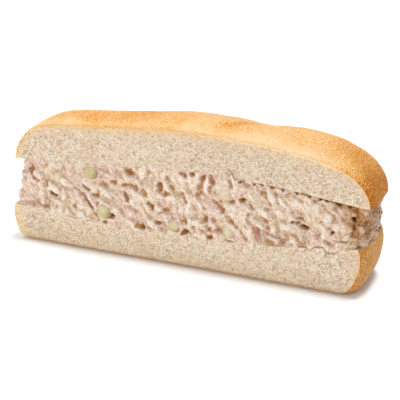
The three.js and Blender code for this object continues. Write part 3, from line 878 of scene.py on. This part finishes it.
def masks(tree, attributes, grains):
    """What a surface's colours are laid by: the piece's own place and attributes, and patterns of noise,
    each by its grain size in mm and its detail."""
    place = add(tree, "TexCoord").outputs["Object"]
    found = {"place": place}
    for name in attributes.split():
        found[name] = add(tree, "Attribute", {"attribute_name": name}).outputs["Fac"]
    for name, (size, detail) in grains.items():
        grain = add(tree, "TexNoise", Vector=place, Scale=1 / (size * MM), Detail=detail)
        found[name] = grain.outputs["Fac"]
    return SimpleNamespace(**found)


def dress(tree, shader, colour, relief):
    """Gives a shader its colour, and its relief in metres as a bump."""
    tree.links.new(colour, shader.inputs["Base Color"])
    bump = add(tree, "Bump", Strength=1.0, Height=relief, Distance=1.0)
    tree.links.new(bump.outputs["Normal"], shader.inputs["Normal"])


def baked_bread():
    """Soft white bread, baked in a pan: wheat dough with a thin browned crust that is egg-shell smooth
    and speckled with fine blisters, and a cream crumb full of small round pores at the cut."""
    material, tree, shader = new_material(
        "baked_bread", Specular_IOR_Level=0.05, Subsurface_Weight=0.10, Subsurface_Scale=0.0012,
        Subsurface_Radius=(1.0, 0.6, 0.35),
    )
    mask = masks(tree, "crumb rim_mm pore bake", {
        "patches": (22, 1), "speckle": (0.48, 1), "blister": (0.42, 1), "grain": (0.62, 2), "clouds": (6, 2),
        "drifts": (3, 2), "pits": (2.2, 1), "ragged": (2.5, 2), "dashes": (1.6, 2), "fine": (0.55, 2),
    })
    axes = add(tree, "SeparateXYZ", Vector=mask.place).outputs
    across, height = axes["X"], axes["Z"]
    slant = add(tree, "Mapping", Vector=mask.place, Rotation=(0, 0, -0.7), Scale=(0.35, 1, 1))
    streaks = add(tree, "TexNoise", Vector=slant.outputs["Vector"], Scale=1 / (9 * MM), Detail=2)

    # crust: pale gold near the cut, deeper gold over the back, orange brown at the right end, partly painted
    # shade
    baked = [(mask.patches, 0.32), (streaks.outputs["Fac"], 0.20), (1.0, 0.195)]
    bake = weighted_sum(tree, mask.bake, baked)
    contrast = add(tree, "MapRange", in_0=bake, in_1=0.4, in_2=0.9, in_3=1.1, in_4=2.7)
    speckle = weighted_sum(tree, -0.5, [(mask.speckle, 1.0)])
    speckled = weighted_sum(tree, bake, [(speckle, contrast.outputs["Result"])])
    ramp = add(tree, "ValToRGB", Fac=speckled)
    stops = [(0.28, "#ceb18f"), (0.48, "#c5a172"), (0.66, "#c38b39"), (0.85, "#b96e0a"), (1.0, "#924c00")]
    while len(ramp.color_ramp.elements) < len(stops):
        ramp.color_ramp.elements.new(0.5)
    for element, (position, colour) in zip(ramp.color_ramp.elements, stops):
        element.position, element.color = position, linear(colour)
    crust_colour = paint(tree, ramp.outputs["Color"], [
        (weighted_sum(tree, mask.blister, [(bake, 0.6)]), 1.21, 1.33, 0.8, "#dea947"),
    ])

    # crumb: cream with fine pores, painted darker as shade, and painted shade within 12 mm of the table;
    # warmer and darker within a few millimetres of the crust
    ragged_rim = weighted_sum(tree, mask.rim_mm, [(mask.ragged, 2.4), (1.0, -1.2)])
    left_rim = weighted_sum(tree, mask.rim_mm, [(across, 500), (1.0, 35)])
    right, far_right = (
        add(tree, "MapRange", in_0=across, in_1=start, in_2=end).outputs["Result"]
        for start, end in ((0.005, 0.030), (0.068, 0.082))
    )
    rim_line = weighted_sum(tree, mask.rim_mm, [(mask.rim_mm, right), (mask.rim_mm, far_right)])
    rim_gold = paint(tree, linear("#dcb478"), [
        (right, 0.0, 1.0, 1.0, "#e9d3aa"),
        (far_right, 0.0, 1.0, 1.0, "#dfb06a"),
    ])
    base_line = weighted_sum(tree, -0.8, [(height, 1 / MM), (mask.dashes, 1.6)])
    crumb_colour = paint(tree, linear("#d1c3aa"), [
        (mask.grain, 0.52, 0.68, 1.0, "#e6d7c4"),
        (mask.grain, 0.50, 0.30, 1.0, "#a08161"),
        (mask.clouds, 0.42, 0.60, 0.4, "#cdae95"),
        (mask.drifts, 0.50, 0.66, 0.5, "#dad0c6"),
        (mask.pits, 0.38, 0.27, 0.65, "#a9875f"),
        # painted shade: the crumb is darker within 12 mm of the table
        (height, 0.012, 0.0, 0.25, "#b7a07c"),
        # painted shade in the pores
        (mask.pore, 0.15, 0.75, 0.4, "#a28462"),
        (weighted_sum(tree, ragged_rim, [(far_right, 2.5)]), 5.5, 1.6, 0.65, "#d6ba98"),
        (rim_line, 2.2, 0.2, 0.95, rim_gold),
        (left_rim, -1.5, -5.0, 0.8, "#d8c29c"),
        (base_line, 2.4, 0.8, 0.8, "#c4935a"),
    ])

    colour = paint(tree, crust_colour, [(mask.crumb, 0.0, 1.0, 1.0, crumb_colour)])
    rough, deep = (
        add(tree, "MapRange", in_0=mask.crumb, in_3=on_crust, in_4=on_crumb).outputs["Result"]
        for on_crust, on_crumb in ((0.52, 0.85), (0.16 * MM, 0.38 * MM))
    )
    tree.links.new(rough, shader.inputs["Roughness"])
    relief = weighted_sum(tree, 0.0, [(mask.fine, 0.7), (mask.dashes, 0.5)])
    relief = add(tree, "Math", {"operation": "MULTIPLY"}, in_0=relief, in_1=deep)
    dress(tree, shader, colour, relief.outputs[0])
    return material


def flaked_tuna_salad():
    """Cooked tuna flaked into mayonnaise: moist, cream to pink, with fine muscle fibres along each flake,
    white mayonnaise that is lighter on the raised parts as painted highlight, painted glints, and painted
    golden brown shade in the hollows, along the seams with the bread and round the right end. Soft sheen all
    over."""
    material, tree, shader = new_material(
        "flaked_tuna_salad", Roughness=0.40, Specular_IOR_Level=0.24, Subsurface_Weight=0.18,
        Subsurface_Scale=0.0014, Subsurface_Radius=(1.0, 0.55, 0.35),
    )
    mask = masks(tree, "pink raised cavity hollow strand skin stain", {
        "mottle": (1.0, 3), "sparkle": (0.42, 1), "cream": (2.6, 2), "lumps": (1.3, 2), "grain": (0.6, 2),
        "fine": (0.4, 1),
    })
    ragged_pink = weighted_sum(tree, mask.pink, [(mask.mottle, 0.9), (1.0, -0.45)])
    ragged_side_shade = weighted_sum(tree, mask.skin, [(mask.cream, 2.8), (1.0, -1.4)])
    # white mayonnaise in patches, lighter on the raised lumps as painted highlight and less in the painted
    # side shade
    dressing_and_highlight = weighted_sum(tree, -1.1, [(mask.raised, 0.6), (mask.cream, 2.3), (mask.skin, -0.12)])
    colour = paint(tree, linear("#d7c3ab"), [
        (mask.mottle, 0.50, 0.64, 1.0, "#bb9375"),
        (ragged_pink, 0.35, 0.85, 0.85, "#c69a92"),
        # painted shade at the right end and round the sides, in brown
        (ragged_side_shade, 0.05, 0.90, 0.8, "#96602c"),
        # mayonnaise, with painted highlight on the raised lumps
        (dressing_and_highlight, 0.0, 0.60, 0.8, "#e6dccf"),
        # painted glints: light specks, and dark specks from the same noise
        (mask.sparkle, 0.54, 0.70, 0.75, "#eee6da"),
        (mask.sparkle, 0.46, 0.30, 0.6, "#a07c5e"),
        # painted shade: darker again there by multiplying
        (mask.skin, 0.2, 1.0, 1.0, "#edd6b4", "MULTIPLY"),
        # painted shade in recesses
        (mask.cavity, 0.05, 0.7, 0.65, "#ae7c42"),
        (mask.strand, 0.0, 1.0, 0.8, "#9c6752"),
        # painted shade in the hollows and grooves
        (mask.hollow, 0.2, 1.7, 0.8, "#a8702c"),
        # painted shade along the seams with the bread
        (mask.stain, 0.0, 1.0, 0.9, "#95601c"),
        # painted deepest shade in the deepest hollows
        (mask.hollow, 1.9, 3.0, 0.9, "#643615"),
    ])
    relief = [(mask.lumps, 0.36 * MM), (mask.grain, 0.40 * MM), (mask.fine, 0.22 * MM)]
    dress(tree, shader, colour, weighted_sum(tree, 0.0, relief))
    return material


def chopped_celery():
    """Raw celery, chopped: wet, pale yellow-green and a little see-through, smeared with mayonnaise that
    is laid on thicker towards the top as painted highlight, with painted shade on its right and lower side.
    """
    material, tree, shader = new_material(
        "chopped_celery", Roughness=0.33, Subsurface_Weight=0.25, Subsurface_Scale=0.0022,
        Subsurface_Radius=(0.7, 1.0, 0.35),
    )
    mask = masks(tree, "green mayo shade", {
        "smears": (2.4, 2), "mottle": (1.0, 2), "fine": (0.6, 2), "grain": (0.5, 1),
    })
    smeared = weighted_sum(tree, mask.mayo, [(mask.smears, 1.5), (1.0, -0.75)])
    colour = paint(tree, linear("#bfb38c"), [
        (mask.green, 0.0, 1.0, 1.0, "#b1a170"),
        (mask.mottle, 0.52, 0.68, 0.6, "#c9c39c"),
        (mask.shade, 0.2, 0.95, 0.95, "#8a6d2e"),
        # mayonnaise smears, thicker towards the top as painted highlight
        (smeared, 0.15, 0.9, 0.95, "#ccb79c"),
        (weighted_sum(tree, mask.mayo, [(mask.grain, 2.4), (1.0, -1.2)]), 0.6, 1.3, 0.5, "#e0d3c0"),
    ])
    relief = weighted_sum(tree, 0.0, [(mask.mottle, 0.25 * MM), (mask.fine, 0.25 * MM)])
    dress(tree, shader, colour, relief)
    return material


def place_piece(piece, material, slot, *nodes):
    """Gives a piece its material, lets it ride on the part and stand for its solids."""
    piece.data.materials.append(material)
    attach(piece, "root")
    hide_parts(*nodes)


bread = baked_bread()
place_piece(make_top_half(), bread, "bread", "bun_top")
place_piece(make_bottom_half(), bread, "bread", "bun_bottom")
place_piece(make_tuna_salad(), flaked_tuna_salad(), "tuna_salad", "tuna_filling")
celery = chopped_celery()
for k in range(len(CELERY)):
    place_piece(make_celery(k), celery, "celery", f"celery_{k + 1}")


def make_table():
    """A large table top of white acrylic, faintly lit from below, as a disc of a fan of triangles."""
    angle = np.linspace(0, 2 * math.pi, TABLE_SIDES + 1)[:-1]
    rim = TABLE_RADIUS * joined(np.cos(angle), np.sin(angle), 0)
    fan = [(0, 1 + i, 1 + (i + 1) % TABLE_SIDES) for i in range(TABLE_SIDES)]
    mesh = bpy.data.meshes.new("table_top")
    mesh.from_pydata([(0, 0, 0)] + rim.tolist(), [], fan)
    table = new_object("table_top", mesh)
    material, tree, shader = new_material(
        "lit_white_acrylic", Roughness=0.7, Emission_Color=(1, 1, 1, 1), Emission_Strength=0.05
    )
    place = add(tree, "TexCoord").outputs["Object"]
    grain = add(tree, "TexNoise", Vector=place, Scale=30.0).outputs["Fac"]
    tone = add(tree, "MapRange", in_0=grain, in_3=0.83, in_4=0.85)
    tree.links.new(tone.outputs["Result"], shader.inputs["Base Color"])
    table.data.materials.append(material)


def add_light(name, place, watts):
    """A round soft box, turned towards the sub."""
    data = bpy.data.lights.new(name, "AREA")
    data.shape, data.size, data.energy = "DISK", SOFT_BOX_WIDTH, watts
    light = new_object(name, data)
    light.location = place
    light.rotation_euler = (Vector(LIT_PLACE) - Vector(place)).to_track_quat("-Z", "Y").to_euler()


def add_camera():
    """The photo's camera: its place in the frame of the cut, its azimuth and pitch, and its focal length."""
    data = bpy.data.cameras.new("camera")
    data.sensor_width = SENSOR_MM
    data.lens = FOCAL_PIXELS / IMAGE_PIXELS * SENSOR_MM
    data.clip_start, data.clip_end = 0.01, 10
    camera = new_object("camera", data)
    camera.location = (np.array(CAMERA_PLACE) + OFFSET) * MM
    camera.rotation_euler = (math.pi / 2 - CAMERA_PITCH, 0, CAMERA_AZIMUTH)
    bpy.context.scene.camera = camera


make_table()
add_light("key_light", (0.32, 0.22, 2.20), 42)
add_light("side_light", (-0.70, 0.00, 2.00), 13)
add_light("front_light", (-0.32, -1.10, 0.34), 5.2)
world = bpy.data.worlds.new("white_room")
world.use_nodes = True
room = world.node_tree.nodes["Background"].inputs
room["Color"].default_value = (1, 1, 1, 1)
room["Strength"].default_value = 0.52
bpy.context.scene.world = world
bpy.context.scene.view_settings.view_transform = "Standard"
add_camera()
